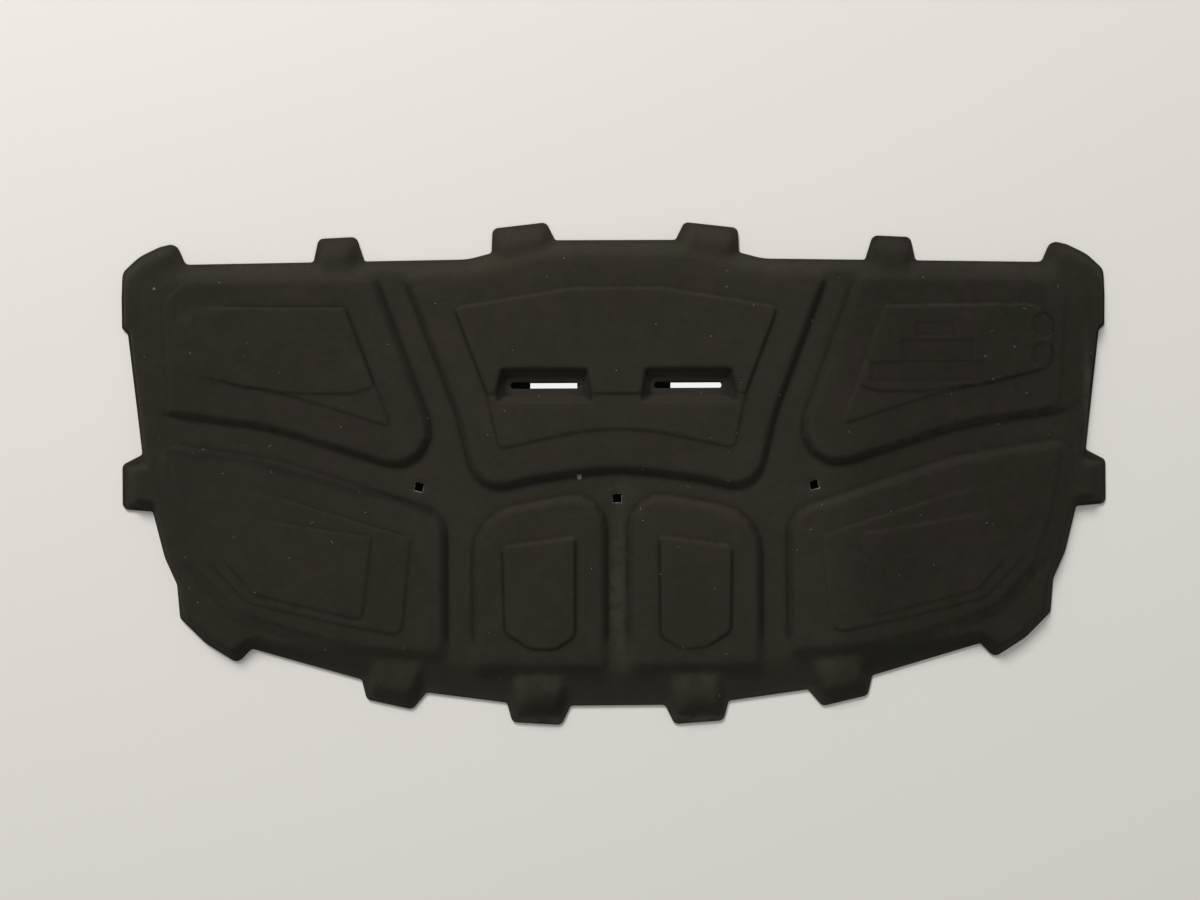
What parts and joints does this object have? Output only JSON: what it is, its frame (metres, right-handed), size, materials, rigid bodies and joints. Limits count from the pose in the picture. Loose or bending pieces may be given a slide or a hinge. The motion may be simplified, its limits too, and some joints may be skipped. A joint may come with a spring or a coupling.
{
  "type": "hood insulation pad",
  "caption": "Wide moulded felt pad for the underside of a car's hood, with raised panels between channels, edge tabs, two slots in pockets and square clip holes.",
  "frame": {"origin": "centre of the pad's outline on the surface it lies on, under its pressed rim", "axes": "+X along the pad's width, +Y towards the edge with the two slots, +Z out of the face with the raised panels"},
  "size_m": [1.374, 0.7009, 0.03],
  "materials": {
    "felt": "matt needled felt, dark brown grey with pale lint"
  },
  "bodies": {
    "root": {"insulation_pad": "felt"}
  },
  "joints": []
}
